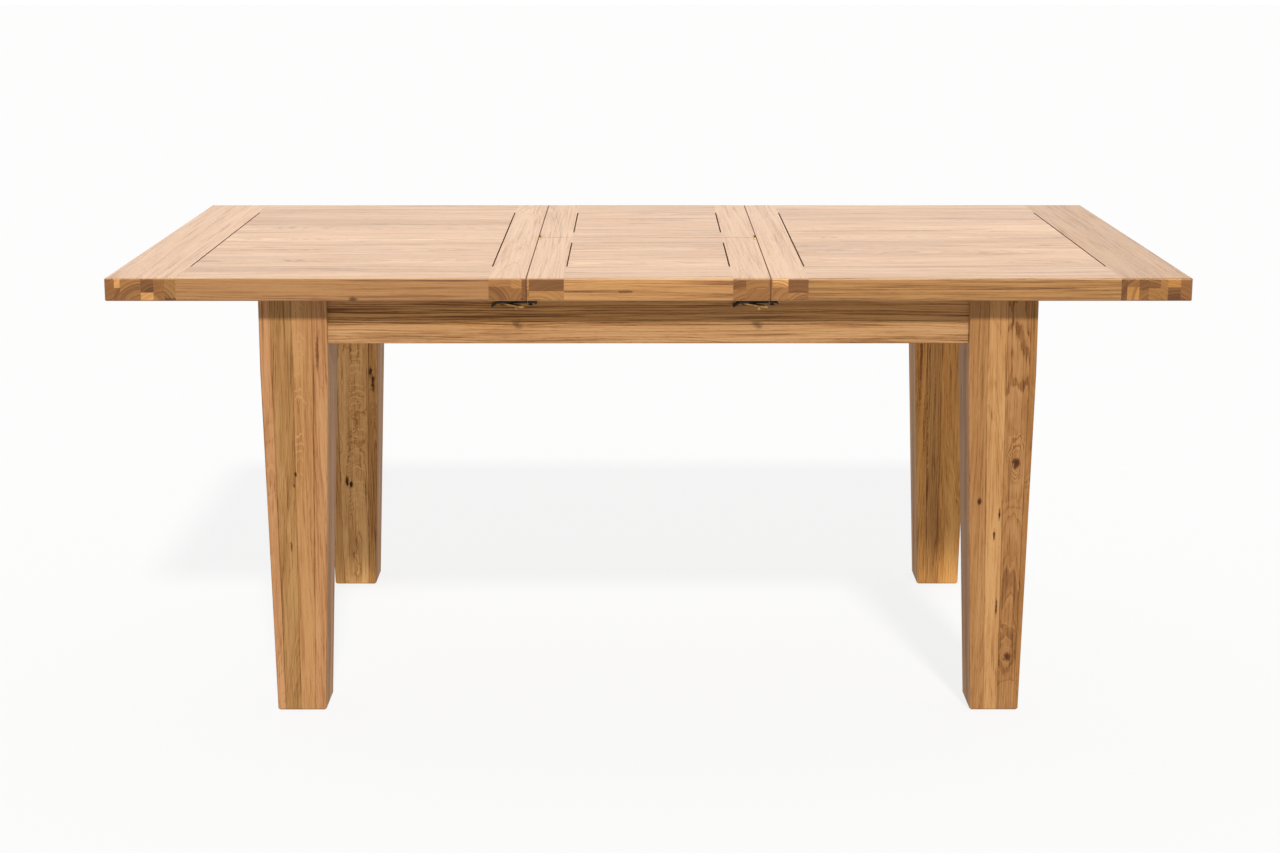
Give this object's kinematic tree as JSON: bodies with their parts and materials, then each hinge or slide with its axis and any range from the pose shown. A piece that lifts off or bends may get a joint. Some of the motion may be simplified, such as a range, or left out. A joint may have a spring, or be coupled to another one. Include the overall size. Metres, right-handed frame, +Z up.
{
  "type": "butterfly extension dining table",
  "caption": "Oak dining table on tapered legs: framed end tops slide apart on wooden runners and a folding butterfly leaf rises from the well between them, locked by brass latches.",
  "frame": {"origin": "on the floor under the centre of the table, drawn out with its leaf in place", "axes": "+X along the table's length to the right end, front edge towards -Y, +Z up"},
  "size_m": [1.8, 0.9, 0.775],
  "materials": {
    "oak_top": "pale oak, satin lacquer",
    "oak_base": "glued-up oak, satin lacquer",
    "hardwood": "beech, planed and waxed",
    "brass": "satin",
    "dark_steel": "dark bronzed",
    "zinc_steel": "zinc plated",
    "rubber": "matt",
    "nylon": "moulded"
  },
  "bodies": {
    "base": {"front_left_leg": "oak_base", "front_right_leg": "oak_base", "rear_left_leg": "oak_base", "rear_right_leg": "oak_base", "front_apron": "oak_base", "rear_apron": "oak_base", "left_apron": "oak_base", "right_apron": "oak_base", "left_pivot_rail": "hardwood", "right_pivot_rail": "hardwood", "front_guide": "hardwood", "rear_guide": "hardwood", "stow_bearer": "hardwood", "corner_blocks": "hardwood", "leg_bolts": "zinc_steel", "leg_nuts": "zinc_steel", "foot_glides": "nylon"},
    "left_top": {"left_outer_stile": "oak_top", "left_inner_stile": "oak_top", "left_front_rail": "oak_top", "left_rear_rail": "oak_top", "left_panel": "oak_top", "left_front_runner": "hardwood", "left_rear_runner": "hardwood", "left_packer": "hardwood", "left_buffers": "rubber", "left_latch_plates": "dark_steel"},
    "right_top": {"right_outer_stile": "oak_top", "right_inner_stile": "oak_top", "right_front_rail": "oak_top", "right_rear_rail": "oak_top", "right_panel": "oak_top", "right_front_runner": "hardwood", "right_rear_runner": "hardwood", "right_packer": "hardwood", "right_buffers": "rubber", "right_keepers": "dark_steel"},
    "leaf_rear": {"rear_leaf_left_stile": "oak_top", "rear_leaf_right_stile": "oak_top", "rear_leaf_edge_rail": "oak_top", "rear_leaf_fold_rail": "oak_top", "rear_leaf_panel": "oak_top", "leaf_pivots": "dark_steel", "rear_hinge_plates": "brass", "rear_leaf_latch_plate": "dark_steel", "rear_leaf_keeper": "dark_steel"},
    "fold_links": {"hinge_links": "brass"},
    "leaf_front": {"front_leaf_left_stile": "oak_top", "front_leaf_right_stile": "oak_top", "front_leaf_edge_rail": "oak_top", "front_leaf_fold_rail": "oak_top", "front_leaf_panel": "oak_top", "front_hinge_plates": "brass", "front_leaf_latch_plate": "dark_steel", "front_leaf_keeper": "dark_steel"},
    "latch_front_left": {"front_left_lever": "brass"},
    "latch_front_right": {"front_right_lever": "brass"},
    "latch_rear_left": {"rear_left_lever": "brass"},
    "latch_rear_right": {"rear_right_lever": "brass"}
  },
  "joints": [
    {"name": "left_top_slide", "type": "slide", "parent": "base", "child": "left_top", "axis": [-1, 0, 0], "range_m": [0, 0.035]},
    {"name": "right_top_slide", "type": "slide", "parent": "base", "child": "right_top", "axis": [1, 0, 0], "range_m": [0, 0.035]},
    {"name": "leaf_swing", "type": "hinge", "parent": "base", "child": "leaf_rear", "pos_m": [0, 0.1125, 0.7315], "axis": [1, 0, 0], "range_deg": [0, 90]},
    {"name": "fold_link", "type": "hinge", "parent": "leaf_rear", "child": "fold_links", "pos_m": [0, 0.0033, 0.772], "axis": [-1, 0, 0], "range_deg": [0, 90]},
    {"name": "leaf_fold", "type": "hinge", "parent": "fold_links", "child": "leaf_front", "pos_m": [0, -0.0033, 0.772], "axis": [-1, 0, 0], "range_deg": [0, 90]},
    {"name": "front_left_latch", "type": "hinge", "parent": "left_top", "child": "latch_front_left", "pos_m": [-0.24225, -0.409, 0.7255], "axis": [0, 0, 1], "range_deg": [0, 45]},
    {"name": "rear_left_latch", "type": "hinge", "parent": "left_top", "child": "latch_rear_left", "pos_m": [-0.24225, 0.409, 0.7255], "axis": [0, 0, -1], "range_deg": [0, 45]},
    {"name": "front_right_latch", "type": "hinge", "parent": "leaf_front", "child": "latch_front_right", "pos_m": [0.16225, -0.409, 0.7255], "axis": [0, 0, 1], "range_deg": [0, 45]},
    {"name": "rear_right_latch", "type": "hinge", "parent": "leaf_rear", "child": "latch_rear_right", "pos_m": [0.16225, 0.409, 0.7255], "axis": [0, 0, -1], "range_deg": [0, 45]}
  ],
  "couplings": [
    {"joint": "fold_link", "follows": "leaf_swing", "ratio": 1},
    {"joint": "leaf_fold", "follows": "leaf_swing", "ratio": 1}
  ]
}
